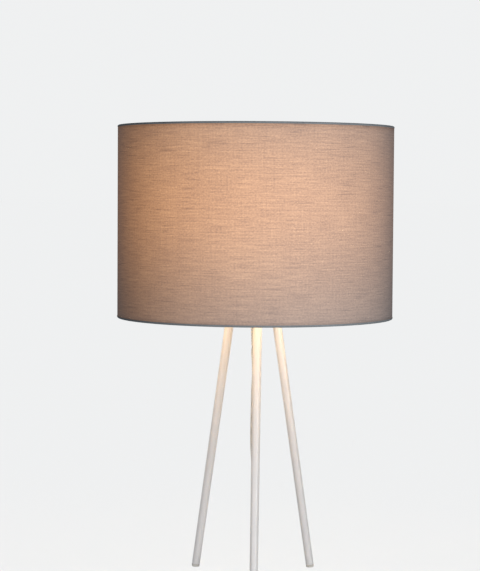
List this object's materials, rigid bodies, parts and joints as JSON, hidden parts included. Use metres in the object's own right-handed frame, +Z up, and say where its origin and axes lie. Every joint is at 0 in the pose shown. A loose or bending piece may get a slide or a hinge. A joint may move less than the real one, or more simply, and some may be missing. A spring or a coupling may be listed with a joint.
{
  "type": "tripod table lamp",
  "caption": "Table lamp with a cylindrical fabric shade on three splayed tube legs, a screw-in bulb, and a lead with an in-line rocker switch and flat plug.",
  "frame": {"origin": "on the surface the lamp stands on, on the axis of the shade", "axes": "+Z up along the shade's axis, -Y towards the foot of the front leg, +X to the right seen from that side"},
  "size_m": [0.3004, 0.3004, 0.491],
  "materials": {
    "shade_fabric": "woven, matt, translucent with light behind it",
    "shade_edge": "woven, matt, opaque where it is folded double",
    "shade_film": "translucent film, satin",
    "white_paint": "satin powder coat",
    "white_plastic": "fine moulded grain",
    "clear_rubber": "soft, milky",
    "zinc": "zinc plated",
    "brass": "stamped",
    "ceramic": "unglazed ceramic",
    "black_insulator": "gloss",
    "opal": "opal diffuser, glows when lit",
    "clear_cord": "clear sheath over two twisted cores",
    "tie_strip": "ribbed strip",
    "nickel": "nickel plated"
  },
  "bodies": {
    "lamp": {"shade_fabric": "shade_fabric", "shade_liner": "shade_film", "shade_top_hem": "shade_edge", "shade_bottom_hem": "shade_edge", "shade_top_ring": "white_paint", "shade_bottom_ring": "white_paint", "shade_carrier": "white_paint", "leg_hub": "white_paint", "nipple_nut": "zinc", "nipple": "zinc", "nipple_washer": "zinc", "cord_sleeve": "clear_rubber", "holder_cup": "white_plastic", "holder_shell": "white_plastic", "holder_contact_block": "ceramic", "holder_centre_contact": "brass", "holder_side_contact": "brass", "holder_terminal_screw_live": "brass", "holder_terminal_screw_neutral": "brass", "shade_ring_nut": "white_plastic", "cord_drop": "clear_cord", "cord_run": "clear_cord", "cord_coil": "clear_cord", "cord_lead": "clear_cord", "cord_tie": "tie_strip", "switch_base": "white_plastic", "switch_cover": "white_plastic", "switch_screw_lamp_side": "zinc", "switch_screw_plug_side": "zinc", "switch_terminal_lamp_side": "brass", "switch_terminal_plug_side": "brass", "plug_body": "white_plastic", "plug_pin_live": "nickel", "plug_pin_neutral": "nickel", "plug_pin_sleeve_live": "white_plastic", "plug_pin_sleeve_neutral": "white_plastic", "front_leg": "white_paint", "front_leg_insert": "zinc", "front_leg_washer": "zinc", "front_leg_screw": "zinc", "front_foot": "clear_rubber", "right_leg": "white_paint", "right_leg_insert": "zinc", "right_leg_washer": "zinc", "right_leg_screw": "zinc", "right_foot": "clear_rubber", "left_leg": "white_paint", "left_leg_insert": "zinc", "left_leg_washer": "zinc", "left_leg_screw": "zinc", "left_foot": "clear_rubber"},
    "rocker": {"switch_rocker": "white_plastic", "switch_bridge": "brass"},
    "bulb_tip": {"bulb_tip": "zinc"},
    "bulb": {"bulb_insulator": "black_insulator", "bulb_cap": "zinc", "bulb_housing": "white_plastic", "bulb_led_board": "ceramic", "bulb_globe": "opal"}
  },
  "joints": [
    {"name": "switch_rock", "type": "hinge", "parent": "lamp", "child": "rocker", "pos_m": [0.052, -0.118, 0.0124], "axis": [0, -1, 0], "range_deg": [0, 14]},
    {"name": "bulb_rise", "type": "slide", "parent": "lamp", "child": "bulb_tip", "axis": [0, 0, 1], "range_m": [0, 0.0219]},
    {"name": "bulb_turn", "type": "hinge", "parent": "bulb_tip", "child": "bulb", "pos_m": [0, 0, 0.36], "axis": [0, 0, 1], "range_deg": [0, 2160]}
  ],
  "couplings": [
    {"joint": "bulb_rise", "follows": "bulb_turn", "m_per_rad": 0.0005777}
  ]
}
